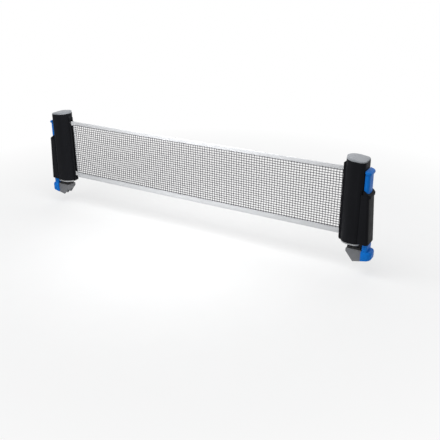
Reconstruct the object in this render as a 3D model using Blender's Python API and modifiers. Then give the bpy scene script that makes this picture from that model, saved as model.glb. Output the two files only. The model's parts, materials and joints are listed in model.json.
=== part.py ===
"""Retractable table-tennis net: two spring clamp posts and the net that is pulled out between them.

The right post holds the sprung roller that the net winds on, and the left post carries the net's
free end. Each post stands on the table edge and grips it with a jaw on a blue slider, which a spring
lifts and which opens when its flange is squeezed towards the fixed ledge.

Metres, +Z up. X runs along the net from the left post to the right one, Y away from the viewer.
The origin is the right post's roller axis in the plane of the table top. The pieces of a post are
modelled in its own frame, in which +X points away from the net, and the left post is turned half round.
"""

import math

import bmesh
import bpy
from mathutils import Matrix, Vector

# Net
NET_SPAN = 0.7326
NET_BOTTOM = 0.012
NET_HEIGHT = 0.150
NET_LENGTH = 1.75
NET_THICKNESS = 0.00045
TOP_TAPE_HEIGHT = 0.0095
BOTTOM_TAPE_HEIGHT = 0.013
TAPE_THICKNESS = 0.0016
STRAND_WIDTH = 0.0014
STRAND_THICKNESS = 0.0008
GAPS_ALONG = 40
GAPS_UP = 5

# Post body
SIDE_ROOM = 0.0028
NOSE_OFFSET = 0.0020
OUTER_CORNER = 0.0110
BODY_WALL = 0.0022
NET_TO_TOP = 0.0246
CAP_THICKNESS = 0.0054
CAP_SLOPE = 0.125
BODY_TOP_SLOPE = 0.058
CAP_INSET = 0.0004
CAP_ROUND = 0.0010
CAP_SKIRT = 0.0090
CAP_SKIRT_WALL = 0.0015
PAD_THICKNESS = 0.0032
PAD_INSET = 0.0010
PLATE_THICKNESS = 0.0025
LOCATING_DISC_RADIUS = 0.0140
LOCATING_DISC_RISE = 0.0025

# Net slot and its lips
LIP_LENGTH = 0.0042
LIP_HALF_WIDTH = 0.006
NET_TO_LIP_TOP = 0.0128
LIP_TOP_CHAMFER = 0.0045
TOE_ROUND = 0.0045
SLOT_WIDTH = 0.004
SLOT_MARGIN = 0.003

# Roller
ROLLER_FLANGE_RADIUS = 0.0172
ROLLER_FLANGE_THICKNESS = 0.0012
ROLLER_RADIUS = 0.0065
ROLLER_WALL = 0.0013
NET_END_PLAY = 0.0005
SPINDLE_RADIUS = 0.0015
SPINDLE_SEAT_DEPTH = 0.004
BUSH_LENGTH = 0.006
BOSS_RADIUS = 0.004
ROLLER_SPRING_WIRE = 0.0008
ROLLER_SPRING_TURNS = 11

# Clamp cover and its fixed ledge
COVER_LOW = 0.005
COVER_HEIGHT = 0.108
COVER_HALF_WIDTH = 0.0210
COVER_WALL = 0.0018
COVER_DEPTH_LOW = 0.0188
COVER_DEPTH_HIGH = 0.0119
COVER_CORNER = 0.0065
COVER_WING = 0.0035
LEDGE_REACH = 0.0150
LEDGE_HALF_WIDTH = 0.0195
LEDGE_CORNER = 0.0070
LEDGE_HEIGHT = 0.0080
LEDGE_RISE = 0.0093
LEDGE_SLOPE = 0.72
LEDGE_TIP_HEIGHT = 0.0045

# Slider: flange, stem, bar, neck and foot in one moulding
STEM_HALF_WIDTH = 0.0160
STEM_DEPTH_HIGH = 0.0088
STEM_DEPTH_LOW = 0.0096
STEM_CORNER = 0.0060
SHELF_HEIGHT = 0.078
BAR_HALF_WIDTH = 0.0150
BAR_THICKNESS = 0.0039
NECK_OFFSET = 0.0054
NECK_DEPTH = 0.0118
NECK_HALF_WIDTH = 0.0155
NECK_ROUND = 0.0035
FINGER_SPAN = 0.043
FLANGE_REACH = 0.0115
FLANGE_HALF_WIDTH = 0.0180
FLANGE_CORNER = 0.0075
FLANGE_HEIGHT = 0.0064
FLANGE_SLOPE = 0.30
FLANGE_ROUND = 0.0022
FOOT_TOP = -0.0118
FOOT_HEIGHT = 0.0232
FOOT_LIP = 0.0005
FOOT_DEPTH = 0.0210
FOOT_HALF_WIDTH = 0.0170
FOOT_CORNER = 0.0100
FOOT_SHOULDER = 0.0045
FOOT_SOLE_SLOPE = 0.21
FOOT_SOLE_ROUND = 0.0020

# Jaw
JAW_GAP = 0.008
JAW_PAD_THICKNESS = 0.0032
JAW_PAD_HALF_WIDTH = 0.0120
JAW_PAD_LENGTH = 0.0310
JAW_PAD_CORNER = 0.0030
JAW_LENGTH = 0.0335
JAW_HALF_WIDTH = 0.0135
JAW_HEEL_DEPTH = 0.0242
JAW_BELLY_DEPTH = 0.0280
JAW_TIP_DEPTH = 0.0085
JAW_TAPER_LENGTH = 0.0165
JAW_TIP_ROUND = 0.0020
JAW_POCKET_WALL = 0.0030
JAW_TONGUE_LENGTH = 0.0110
JAW_TONGUE_HALF_WIDTH = 0.0075
JAW_TONGUE_HEIGHT = 0.0090
JAW_TONGUE_DROP = 0.0060

# Springs and screws
CLAMP_SPRING_WIRE = 0.0009
CLAMP_SPRING_TURNS = 12
CLOSED_TURN_RISE = 1.7
SHELF_HALF_WIDTH = 0.0046
SPRING_ROOM = 0.0074
SPIGOT_RADIUS = 0.0016
SPIGOT_LENGTH = 0.0110
SCREW_RADIUS = 0.00125
SCREW_HEAD_RADIUS = 0.0026
SCREW_HEAD_HEIGHT = 0.0014
SCREW_LENGTH = 0.0110
SCREW_BOSS_RADIUS = 0.0030
SCREW_BOSS_HEIGHT = 0.0160
JAW_SCREW_RECESS = 0.0012

# Net end bar and the hooks that hold it in the left post's slot
END_BAR_WIDTH = 0.0045
END_BAR_THICKNESS = 0.0024
END_BAR_STANDOFF = 0.0055
HOOK_HEIGHT = 0.0095
HOOK_INSET_TOP = 0.0012
HOOK_INSET_BOTTOM = 0.0045
HOOK_HEAD_HALF_WIDTH = 0.0045
HOOK_HEAD_THICKNESS = 0.0025

# Clearances
SEAT_GAP = 0.0003
RUNNING_GAP = 0.0006
SLIDER_GAP = 0.0005
OVERLAP = 0.0010
TINY = 0.00001
THROUGH = 0.0500

# Places that follow from the sizes above, in a post's own frame
NET_TOP = NET_BOTTOM + NET_HEIGHT
POST_HEIGHT = NET_TOP + NET_TO_TOP
CHAMBER = ROLLER_FLANGE_RADIUS + RUNNING_GAP
OUTER_FACE = CHAMBER + BODY_WALL
BODY_HALF_WIDTH = CHAMBER + SIDE_ROOM + BODY_WALL
NET_FACE = -(NOSE_OFFSET + BODY_HALF_WIDTH)
LIP_FACE = NET_FACE - LIP_LENGTH
SLOT_END = NET_FACE + BODY_WALL + SEAT_GAP
PLATE_LOW = PAD_THICKNESS + SEAT_GAP
PLATE_HIGH = PLATE_LOW + PLATE_THICKNESS
BODY_LOW = PLATE_HIGH + SEAT_GAP
ROLLER_LOW = NET_BOTTOM - NET_END_PLAY - ROLLER_FLANGE_THICKNESS
ROLLER_HIGH = NET_TOP + NET_END_PLAY + ROLLER_FLANGE_THICKNESS
COVER_FACE = OUTER_FACE + SEAT_GAP
COVER_HIGH = COVER_LOW + COVER_HEIGHT
FLANGE_LOW = COVER_HIGH + FINGER_SPAN
STEM_FACE = OUTER_FACE + SLIDER_GAP
SPRING_X = OUTER_FACE + SPRING_ROOM / 2
BAR_FACE = OUTER_FACE + SPRING_ROOM
NECK_FACE = OUTER_FACE + NECK_OFFSET
NECK_HIGH = PLATE_LOW - SLIDER_GAP
FOOT_FACE = NECK_FACE - FOOT_LIP
JAW_PAD_TOP = -JAW_GAP
JAW_TOP = JAW_PAD_TOP - JAW_PAD_THICKNESS - SEAT_GAP
JAW_END = FOOT_FACE - SEAT_GAP
BODY_HEIGHT = POST_HEIGHT - CAP_THICKNESS
CAP_SKIRT_LOW = BODY_HEIGHT - CAP_SKIRT
BOSS_LOW = ROLLER_HIGH + RUNNING_GAP
SPINDLE_LOW = PLATE_HIGH - PLATE_THICKNESS / 2
SPINDLE_HIGH = BOSS_LOW + SPINDLE_SEAT_DEPTH
BOSS_HIGH = ROLLER_LOW - RUNNING_GAP
SCREW_REACH = (OUTER_CORNER - SCREW_BOSS_RADIUS - 2 * SEAT_GAP) * math.sqrt(0.5)
SCREW_X = OUTER_FACE - OUTER_CORNER + SCREW_REACH
SCREW_Y = BODY_HALF_WIDTH - OUTER_CORNER + SCREW_REACH
JAW_SCREW_X = JAW_END + JAW_TONGUE_LENGTH / 2
FOOT_LOW = FOOT_TOP - FOOT_HEIGHT
JAW_SCREW_LOW = FOOT_LOW + FOOT_SOLE_SLOPE * (JAW_SCREW_X - FOOT_FACE) + JAW_SCREW_RECESS
POST_SPACING = NET_SPAN - 2 * LIP_FACE
ROLL_RADIUS = math.sqrt((NET_LENGTH - NET_SPAN) * NET_THICKNESS / math.pi + ROLLER_RADIUS**2)

# Colours: red, green, blue, then roughness and metallic
BLACK_PLASTIC = (0.035, 0.036, 0.040), 0.42, 0.0
SILVER_PLASTIC = (0.52, 0.53, 0.54), 0.38, 0.25
BLUE_PLASTIC = (0.015, 0.225, 0.66), 0.36, 0.0
GREY_PLASTIC = (0.22, 0.225, 0.235), 0.50, 0.0
PALE_RUBBER = (0.55, 0.56, 0.57), 0.80, 0.0
BLACK_RUBBER = (0.02, 0.02, 0.021), 0.85, 0.0
STEEL = (0.60, 0.60, 0.62), 0.30, 1.0
WHITE_PLASTIC = (0.78, 0.79, 0.80), 0.45, 0.0
WHITE_FABRIC = (0.74, 0.75, 0.77), 0.85, 0.0
NET_CORD = (0.20, 0.20, 0.22), 0.80, 0.0


def clear_scene():
    for obj in list(bpy.data.objects):
        bpy.data.objects.remove(obj)


def collection(name):
    made = bpy.data.collections.new(name)
    bpy.context.scene.collection.children.link(made)
    return made


def material(name, look):
    colour, roughness, metallic = look
    made = bpy.data.materials.new(name)
    made.use_nodes = True
    shader = made.node_tree.nodes["Principled BSDF"]
    shader.inputs["Base Color"].default_value = (*colour, 1.0)
    shader.inputs["Roughness"].default_value = roughness
    shader.inputs["Metallic"].default_value = metallic
    made.diffuse_color = (*colour, 1.0)
    return made


def finished(mesh, angle=35):
    """The mesh with its faces pointing out, shaded smooth but for its sharp edges."""
    shape = bmesh.new()
    shape.from_mesh(mesh)
    bmesh.ops.remove_doubles(shape, verts=shape.verts, dist=1e-6)
    bmesh.ops.recalc_face_normals(shape, faces=shape.faces)
    shape.to_mesh(mesh)
    shape.free()
    mesh.shade_smooth()
    mesh.set_sharp_from_angle(angle=math.radians(angle))
    return mesh


def evaluated_mesh(obj):
    """A mesh of the object with its modifiers applied, in world space."""
    bpy.context.view_layer.update()
    graph = bpy.context.evaluated_depsgraph_get()
    mesh = bpy.data.meshes.new_from_object(obj.evaluated_get(graph))
    mesh.transform(obj.matrix_world)
    return mesh


def arc(centre, radius, start, end, steps):
    """Points along an arc, in degrees."""
    points = []
    for step in range(steps + 1):
        angle = math.radians(start + (end - start) * step / steps)
        points.append((centre[0] + radius * math.cos(angle), centre[1] + radius * math.sin(angle)))
    return points


def prism(loops, low, high, upright=False):
    """A mesh of flat outlines, the first with the others as holes, drawn from low to high.

    It rises along Z, or with upright set its outlines stand in X and Z and it runs along Y.
    """
    curve = bpy.data.curves.new("outline", "CURVE")
    curve.dimensions = "2D"
    curve.fill_mode = "BOTH"
    curve.extrude = (high - low) / 2
    for loop in loops:
        spline = curve.splines.new("POLY")
        spline.points.add(len(loop) - 1)
        for point, (x, y) in zip(spline.points, loop):
            point.co = (x, y, 0, 1)
        spline.use_cyclic_u = True
    obj = bpy.data.objects.new("outline", curve)
    bpy.context.scene.collection.objects.link(obj)
    if upright:
        obj.matrix_world = Matrix.Rotation(math.radians(90), 4, "X")
    obj.location[1 if upright else 2] = (low + high) / 2
    mesh = evaluated_mesh(obj)
    bpy.data.objects.remove(obj)
    bpy.data.curves.remove(curve)
    return finished(mesh)


def box(low, high):
    shape = bmesh.new()
    bmesh.ops.create_cube(shape, size=1.0)
    size = Vector(high) - Vector(low)
    centre = (Vector(high) + Vector(low)) / 2
    bmesh.ops.scale(shape, verts=shape.verts, vec=size)
    bmesh.ops.translate(shape, verts=shape.verts, vec=centre)
    mesh = bpy.data.meshes.new("box")
    shape.to_mesh(mesh)
    shape.free()
    return mesh


def cylinder(x, y, radius, low, high, sides=20):
    shape = bmesh.new()
    bmesh.ops.create_cone(
        shape, cap_ends=True, segments=sides, radius1=radius, radius2=radius, depth=high - low
    )
    bmesh.ops.translate(shape, verts=shape.verts, vec=(x, y, (low + high) / 2))
    mesh = bpy.data.meshes.new("cylinder")
    shape.to_mesh(mesh)
    shape.free()
    return mesh


def combined(base, joined=(), cut=(), common=()):
    """The base mesh cut down to what it shares with the common meshes, then joined, then cut."""
    helpers = []
    obj = bpy.data.objects.new("base", base)
    bpy.context.scene.collection.objects.link(obj)
    for meshes, operation in ((common, "INTERSECT"), (joined, "UNION"), (cut, "DIFFERENCE")):
        for mesh in meshes:
            helper = bpy.data.objects.new("cutter", mesh)
            helper.hide_render = True
            helper.display_type = "WIRE"
            cutters.objects.link(helper)
            helpers.append(helper)
            modifier = obj.modifiers.new(operation, "BOOLEAN")
            modifier.operation = operation
            modifier.solver = "EXACT"
            modifier.object = helper
    mesh = evaluated_mesh(obj)
    for helper in helpers + [obj]:
        bpy.data.objects.remove(helper)
    return finished(mesh)


def rounded_rim(mesh, width, wanted, segments=2):
    """Rounds the sharp edges that pass a test of their middle point and direction."""
    shape = bmesh.new()
    shape.from_mesh(mesh)
    bmesh.ops.dissolve_limit(shape, angle_limit=0.01, verts=shape.verts, edges=shape.edges)
    edges = []
    for edge in shape.edges:
        start, end = [vertex.co for vertex in edge.verts]
        sharp = len(edge.link_faces) == 2 and edge.calc_face_angle() > 0.6
        if sharp and wanted((start + end) / 2, end - start):
            edges.append(edge)
    bmesh.ops.bevel(shape, geom=edges, offset=width, segments=segments, profile=0.5, affect="EDGES")
    shape.to_mesh(mesh)
    shape.free()
    return finished(mesh)


def tongue(near, far, half_width, corner, steps=6):
    """A plan outline that is square at the near end and has rounded corners at the far end."""
    points = [(near, -half_width)]
    points += arc((far - corner, -half_width + corner), corner, -90, 0, steps)
    points += arc((far - corner, half_width - corner), corner, 0, 90, steps)
    points.append((near, half_width))
    return points


def rounded_box_outline(x_low, x_high, half_width, corner, steps=3):
    points = arc((x_high - corner, half_width - corner), corner, 0, 90, steps)
    points += arc((x_low + corner, half_width - corner), corner, 90, 180, steps)
    points += arc((x_low + corner, corner - half_width), corner, 180, 270, steps)
    points += arc((x_high - corner, corner - half_width), corner, 270, 360, steps)
    return points


def body_outline(inset, steps=12, outside=()):
    """The post's section: half round towards the net, and flat with rounded corners on the outer side.

    The outside points, if any, interrupt the outer flat.
    """
    outer = OUTER_FACE - inset
    half_width = BODY_HALF_WIDTH - inset
    corner = max(OUTER_CORNER - inset, OUTER_CORNER / 4)
    points = arc((outer - corner, corner - half_width), corner, -90, 0, 6)
    points += outside
    points += arc((outer - corner, half_width - corner), corner, 0, 90, 6)
    points += arc((-NOSE_OFFSET, 0), half_width, 90, 270, 2 * steps)
    return points


def cap_top(x):
    return POST_HEIGHT - CAP_SLOPE * (x - NET_FACE)


def body_top(x):
    """The height of the joint between cap and housing, which slopes down outwards like the cap."""
    return BODY_HEIGHT - BODY_TOP_SLOPE * (x - NET_FACE)


def housing_mesh():
    shell = prism([body_outline(0.0), body_outline(BODY_WALL)], BODY_LOW, BODY_HEIGHT)
    for vertex in shell.vertices:
        if vertex.co.z > BODY_HEIGHT - OVERLAP:
            vertex.co.z = body_top(vertex.co.x) - SEAT_GAP
    high = NET_TOP + NET_TO_LIP_TOP
    side = [
        (LIP_FACE, BODY_LOW),
        (-NOSE_OFFSET, BODY_LOW),
        (-NOSE_OFFSET, high),
        (LIP_FACE + LIP_TOP_CHAMFER, high),
        (LIP_FACE, high - LIP_TOP_CHAMFER),
    ]
    lips = prism([side], -LIP_HALF_WIDTH, LIP_HALF_WIDTH, upright=True)
    inside = prism([body_outline(BODY_WALL / 2)], BODY_LOW - OVERLAP, POST_HEIGHT)
    lips = combined(lips, cut=[inside])
    slot = box(
        (LIP_FACE - OVERLAP, -SLOT_WIDTH / 2, NET_BOTTOM - SLOT_MARGIN),
        (SLOT_END + OVERLAP, SLOT_WIDTH / 2, NET_TOP + SLOT_MARGIN),
    )
    bosses = []
    holes = [slot]
    for y in (-SCREW_Y, SCREW_Y):
        boss_high = BODY_LOW + SCREW_BOSS_HEIGHT
        bosses.append(cylinder(SCREW_X, y, SCREW_BOSS_RADIUS + SEAT_GAP, BODY_LOW, boss_high, 16))
        hole = SCREW_RADIUS + SEAT_GAP
        holes.append(cylinder(SCREW_X, y, hole, BODY_LOW - OVERLAP, boss_high - OVERLAP, 12))
    return combined(shell, [lips] + bosses, holes)


def cap_mesh():
    cap = prism([body_outline(CAP_INSET)], BODY_HEIGHT, POST_HEIGHT)
    for vertex in cap.vertices:
        level = cap_top if vertex.co.z > BODY_HEIGHT + CAP_THICKNESS / 2 else body_top
        vertex.co.z = level(vertex.co.x)
    rounded_rim(cap, CAP_ROUND, lambda middle, along: abs(middle.z - cap_top(middle.x)) < TINY)
    skirt_high = body_top(OUTER_FACE) + OVERLAP
    skirt_out = BODY_WALL + SEAT_GAP
    skirt_outline = [body_outline(skirt_out, 8), body_outline(skirt_out + CAP_SKIRT_WALL, 8)]
    skirt = prism(skirt_outline, CAP_SKIRT_LOW, skirt_high)
    boss = cylinder(0, 0, BOSS_RADIUS, BOSS_LOW, body_top(0) + OVERLAP, 16)
    socket = cylinder(0, 0, SPINDLE_RADIUS + SEAT_GAP, BOSS_LOW - OVERLAP, SPINDLE_HIGH + SEAT_GAP, 12)
    return combined(cap, [skirt, boss], [socket])


def toe_mesh():
    """The base plate's toe, which carries the lips' outline down in front of the pad."""
    side = arc((LIP_FACE + TOE_ROUND, PLATE_HIGH), TOE_ROUND, 180, 270, 5)
    side += [(-NOSE_OFFSET, PLATE_HIGH - TOE_ROUND), (-NOSE_OFFSET, PLATE_HIGH)]
    toe = prism([side], -LIP_HALF_WIDTH, LIP_HALF_WIDTH, upright=True)
    pad_room = prism([body_outline(PAD_INSET - SEAT_GAP)], -OVERLAP, PLATE_LOW + OVERLAP)
    inside = prism([body_outline(BODY_WALL)], -OVERLAP, POST_HEIGHT)
    return combined(toe, cut=[pad_room, inside])


def base_plate_mesh():
    """The plate with its toe and spring shelf, the disc that centres the housing, and the bosses."""
    half = SHELF_HALF_WIDTH
    shelf_end = BAR_FACE - SLIDER_GAP
    shelf = [(OUTER_FACE, -half), (shelf_end, -half), (shelf_end, half), (OUTER_FACE, half)]
    plate = prism([body_outline(0.0, outside=shelf)], PLATE_LOW, PLATE_HIGH)
    disc = cylinder(0, 0, LOCATING_DISC_RADIUS, PLATE_LOW + OVERLAP, PLATE_HIGH + LOCATING_DISC_RISE)
    boss = cylinder(0, 0, BOSS_RADIUS, PLATE_LOW + OVERLAP, BOSS_HIGH, 16)
    spigot = cylinder(
        SPRING_X, 0, SPIGOT_RADIUS, PLATE_HIGH - OVERLAP, PLATE_HIGH + SPIGOT_LENGTH, 10
    )
    cuts = [cylinder(0, 0, SPINDLE_RADIUS + SEAT_GAP, SPINDLE_LOW - SEAT_GAP, THROUGH, 12)]
    for y in (-SCREW_Y, SCREW_Y):
        head_high = PLATE_LOW + SCREW_HEAD_HEIGHT + SEAT_GAP
        head = SCREW_HEAD_RADIUS + SEAT_GAP
        cuts.append(cylinder(SCREW_X, y, SCREW_RADIUS + SEAT_GAP, -THROUGH, THROUGH, 12))
        cuts.append(cylinder(SCREW_X, y, head, -THROUGH, head_high, 14))
    return combined(plate, [toe_mesh(), disc, boss, spigot], cuts)


def base_pad_mesh():
    return prism([body_outline(PAD_INSET)], 0.0, PAD_THICKNESS)


def clamp_cover_mesh():
    """A shell that is open towards the housing and at the bottom, deeper at its foot, with the ledge.

    Its side walls run on round the housing's corners, so that the two stand flush.
    """
    near = OUTER_FACE - COVER_WING
    far = COVER_FACE + COVER_DEPTH_LOW
    outer = tongue(near, far, COVER_HALF_WIDTH, COVER_CORNER)
    inner_half = COVER_HALF_WIDTH - COVER_WALL
    inner = tongue(near, far - COVER_WALL, inner_half, COVER_CORNER - COVER_WALL)
    shell = prism([outer + list(reversed(inner))], COVER_LOW, COVER_HIGH)
    narrowing = COVER_DEPTH_HIGH / COVER_DEPTH_LOW
    for vertex in shell.vertices:
        if vertex.co.z > COVER_HIGH - OVERLAP and vertex.co.x > COVER_FACE:
            vertex.co.x = COVER_FACE + (vertex.co.x - COVER_FACE) * narrowing
    ledge_low = COVER_HIGH - LEDGE_HEIGHT
    ledge_high = COVER_HIGH + LEDGE_RISE
    reach = COVER_FACE + LEDGE_REACH
    tip_high = ledge_high - LEDGE_REACH * LEDGE_SLOPE
    side = [
        (COVER_FACE, ledge_low),
        (COVER_FACE + COVER_DEPTH_HIGH - COVER_WALL / 2, ledge_low),
        (reach, tip_high - LEDGE_TIP_HEIGHT),
        (reach, tip_high),
        (COVER_FACE, ledge_high),
    ]
    ledge = prism([side], -COVER_HALF_WIDTH, COVER_HALF_WIDTH, upright=True)
    plan = tongue(COVER_FACE - OVERLAP, reach, LEDGE_HALF_WIDTH, LEDGE_CORNER)
    ledge = combined(ledge, common=[prism([plan], ledge_low - OVERLAP, ledge_high + OVERLAP)])
    slot_far = STEM_FACE + STEM_DEPTH_LOW + SLIDER_GAP
    slot_half = STEM_HALF_WIDTH + SLIDER_GAP
    outline = tongue(COVER_FACE - OVERLAP, slot_far, slot_half, STEM_CORNER + SLIDER_GAP, 3)
    slot = prism([outline], ledge_low - OVERLAP, ledge_high + OVERLAP)
    housing = prism([body_outline(-SEAT_GAP)], 0.0, POST_HEIGHT)
    return combined(shell, [ledge], [slot, housing])


def foot_mesh():
    """The foot below the table edge, with broad shoulders and a sole that rises outwards."""
    outline = tongue(FOOT_FACE, FOOT_FACE + FOOT_DEPTH, FOOT_HALF_WIDTH, FOOT_CORNER)
    foot = prism([outline], FOOT_LOW, FOOT_TOP)
    waist = (FOOT_LOW + FOOT_TOP) / 2
    for vertex in foot.vertices:
        if vertex.co.z < waist:
            vertex.co.z += FOOT_SOLE_SLOPE * (vertex.co.x - FOOT_FACE)
    outside = FOOT_FACE + OVERLAP
    high = FOOT_TOP - TINY
    rounded_rim(foot, FOOT_SHOULDER, lambda middle, along: middle.x > outside and middle.z > high)
    rounded_rim(foot, FOOT_SOLE_ROUND, lambda middle, along: middle.x > outside and middle.z < waist)
    return foot


def slider_mesh():
    """Trigger flange on its stem, the bar behind the cover, and the neck and foot below the housing."""
    bar_far = BAR_FACE + BAR_THICKNESS
    stem_far = STEM_FACE + STEM_DEPTH_LOW
    stem_top = FLANGE_LOW + OVERLAP
    stem_side = [
        (STEM_FACE, SHELF_HEIGHT),
        (stem_far, SHELF_HEIGHT),
        (stem_far, COVER_HIGH),
        (STEM_FACE + STEM_DEPTH_HIGH, stem_top),
        (STEM_FACE, stem_top),
    ]
    stem = prism([stem_side], -STEM_HALF_WIDTH, STEM_HALF_WIDTH, upright=True)
    outside = STEM_FACE + STEM_DEPTH_HIGH / 2
    rounded_rim(stem, STEM_CORNER, lambda middle, along: middle.x > outside and abs(along.y) < TINY, 3)
    bar = box(
        (BAR_FACE, -BAR_HALF_WIDTH, FOOT_TOP - FOOT_SHOULDER),
        (bar_far, BAR_HALF_WIDTH, SHELF_HEIGHT + 2 * OVERLAP),
    )
    spigot = cylinder(
        SPRING_X, 0, SPIGOT_RADIUS, SHELF_HEIGHT - SPIGOT_LENGTH, SHELF_HEIGHT + OVERLAP, 10
    )
    reach = STEM_FACE + FLANGE_REACH
    flange_outline = tongue(STEM_FACE, reach, FLANGE_HALF_WIDTH, FLANGE_CORNER)
    flange = prism([flange_outline], FLANGE_LOW, FLANGE_LOW + FLANGE_HEIGHT)
    for vertex in flange.vertices:
        vertex.co.z -= FLANGE_SLOPE * (vertex.co.x - STEM_FACE)
    rounded_rim(flange, FLANGE_ROUND, lambda middle, along: middle.x > STEM_FACE + TINY)
    neck_outline = rounded_box_outline(
        NECK_FACE, NECK_FACE + NECK_DEPTH, NECK_HALF_WIDTH, NECK_ROUND
    )
    neck = prism([neck_outline], FOOT_TOP - FOOT_SHOULDER - OVERLAP, NECK_HIGH)
    foot = foot_mesh()
    tongue_high = JAW_TOP - JAW_TONGUE_DROP
    tongue_low = tongue_high - JAW_TONGUE_HEIGHT
    half = JAW_TONGUE_HALF_WIDTH + SEAT_GAP
    pocket_end = JAW_END + JAW_TONGUE_LENGTH + SEAT_GAP
    pocket = box(
        (FOOT_FACE - OVERLAP, -half, tongue_low - SEAT_GAP), (pocket_end, half, tongue_high + SEAT_GAP)
    )
    low = FOOT_LOW - OVERLAP
    head_high = JAW_SCREW_LOW + SCREW_HEAD_HEIGHT + SEAT_GAP
    shank_hole = cylinder(JAW_SCREW_X, 0, SCREW_RADIUS + SEAT_GAP, low, tongue_high - OVERLAP, 12)
    head_hole = cylinder(JAW_SCREW_X, 0, SCREW_HEAD_RADIUS + SEAT_GAP, low, head_high, 14)
    return combined(stem, [bar, spigot, flange, neck, foot], [pocket, shank_hole, head_hole])


def jaw_arm_mesh():
    """The arm under the table, hollow from below, with the tongue that fits the foot."""
    tip = JAW_END - JAW_LENGTH
    heel = JAW_TOP - JAW_HEEL_DEPTH
    belly = JAW_TOP - JAW_BELLY_DEPTH
    tip_low = JAW_TOP - JAW_TIP_DEPTH
    side = [(JAW_END, JAW_TOP)]
    side += arc((tip + JAW_TIP_ROUND, JAW_TOP - JAW_TIP_ROUND), JAW_TIP_ROUND, 90, 180, 3)
    side += arc((tip + JAW_TIP_ROUND, tip_low + JAW_TIP_ROUND), JAW_TIP_ROUND, 180, 225, 2)
    side += [(tip + JAW_TAPER_LENGTH, belly), (JAW_END, heel)]
    arm = prism([side], -JAW_HALF_WIDTH, JAW_HALF_WIDTH, upright=True)
    tongue_high = JAW_TOP - JAW_TONGUE_DROP
    key = box(
        (JAW_END - OVERLAP, -JAW_TONGUE_HALF_WIDTH, tongue_high - JAW_TONGUE_HEIGHT),
        (JAW_END + JAW_TONGUE_LENGTH, JAW_TONGUE_HALF_WIDTH, tongue_high),
    )
    cuts = []
    pocket_half = (JAW_HALF_WIDTH - 1.5 * JAW_POCKET_WALL) / 2
    for y in (-1, 1):
        middle = y * (JAW_POCKET_WALL / 2 + pocket_half)
        cuts.append(
            box(
                (tip + JAW_TAPER_LENGTH / 2, middle - pocket_half, belly - OVERLAP),
                (JAW_END - JAW_POCKET_WALL, middle + pocket_half, JAW_TOP - JAW_POCKET_WALL),
            )
        )
    cuts.append(cylinder(JAW_SCREW_X, 0, SCREW_RADIUS + SEAT_GAP, belly, tongue_high - OVERLAP, 12))
    return combined(arm, [key], cuts)


def jaw_pad_mesh():
    far = JAW_END - OVERLAP
    outline = rounded_box_outline(far - JAW_PAD_LENGTH, far, JAW_PAD_HALF_WIDTH, JAW_PAD_CORNER)
    return prism([outline], JAW_TOP + SEAT_GAP, JAW_PAD_TOP)


def screw_mesh(x, y, head_low, length):
    head_high = head_low + SCREW_HEAD_HEIGHT
    head = cylinder(x, y, SCREW_HEAD_RADIUS, head_low, head_high, 14)
    shank = cylinder(x, y, SCREW_RADIUS, head_high - SCREW_HEAD_HEIGHT / 2, head_high + length, 10)
    return combined(head, [shank])


def turned(profile, steps):
    """A closed ring of the profile turned about Z; the profile runs down the outer side first."""
    mesh = bpy.data.meshes.new("profile")
    ring = [(index, (index + 1) % len(profile)) for index in range(len(profile))]
    mesh.from_pydata([(x, 0, z) for x, z in profile], ring, [])
    obj = bpy.data.objects.new("profile", mesh)
    bpy.context.scene.collection.objects.link(obj)
    screw = obj.modifiers.new("turn", "SCREW")
    screw.steps = steps
    screw.render_steps = steps
    screw.use_merge_vertices = True
    screw.merge_threshold = 1e-5
    result = evaluated_mesh(obj)
    bpy.data.objects.remove(obj)
    return finished(result)


def roller_mesh():
    """A tube with a guide flange at each end, turned from one profile."""
    inner = ROLLER_RADIUS - ROLLER_WALL
    flange = ROLLER_FLANGE_RADIUS
    upper = ROLLER_HIGH - ROLLER_FLANGE_THICKNESS
    lower = ROLLER_LOW + ROLLER_FLANGE_THICKNESS
    profile = [
        (inner, ROLLER_HIGH),
        (flange, ROLLER_HIGH),
        (flange, upper),
        (ROLLER_RADIUS, upper),
        (ROLLER_RADIUS, lower),
        (flange, lower),
        (flange, ROLLER_LOW),
        (inner, ROLLER_LOW),
    ]
    return turned(profile, 28)


def ring_mesh(inner, outer, low, high, steps=20):
    return turned([(inner, high), (outer, high), (outer, low), (inner, low)], steps)


def net_grid_mesh(x_low, x_high, z_low, z_high):
    """A flat lattice of strands: a grid whose odd cells are taken out, made solid."""
    shape = bmesh.new()
    columns = 2 * GAPS_ALONG + 1
    rows = 2 * GAPS_UP + 1
    bmesh.ops.create_grid(shape, x_segments=columns, y_segments=rows, size=1.0)

    def place(share, count, gaps, low, high):
        index = round((share + 1) / 2 * count)
        pitch = (high - low - STRAND_WIDTH) / gaps
        return index, low + (index // 2) * pitch + (index % 2) * STRAND_WIDTH

    cells = {}
    for vertex in shape.verts:
        column, x = place(vertex.co.x, columns, GAPS_ALONG, x_low, x_high)
        row, z = place(vertex.co.y, rows, GAPS_UP, z_low, z_high)
        cells[vertex] = (column, row)
        vertex.co = (x, 0, z)
    holes = []
    for face in shape.faces:
        column = min(cells[vertex][0] for vertex in face.verts)
        row = min(cells[vertex][1] for vertex in face.verts)
        if column % 2 and row % 2:
            holes.append(face)
    bmesh.ops.delete(shape, geom=holes, context="FACES")
    mesh = bpy.data.meshes.new("net")
    shape.to_mesh(mesh)
    shape.free()
    return thickened(mesh, STRAND_THICKNESS)


def thickened(mesh, thickness):
    obj = bpy.data.objects.new("sheet", mesh)
    bpy.context.scene.collection.objects.link(obj)
    solid = obj.modifiers.new("thickness", "SOLIDIFY")
    solid.thickness = thickness
    solid.offset = 0.0
    result = evaluated_mesh(obj)
    bpy.data.objects.remove(obj)
    return finished(result)


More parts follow.
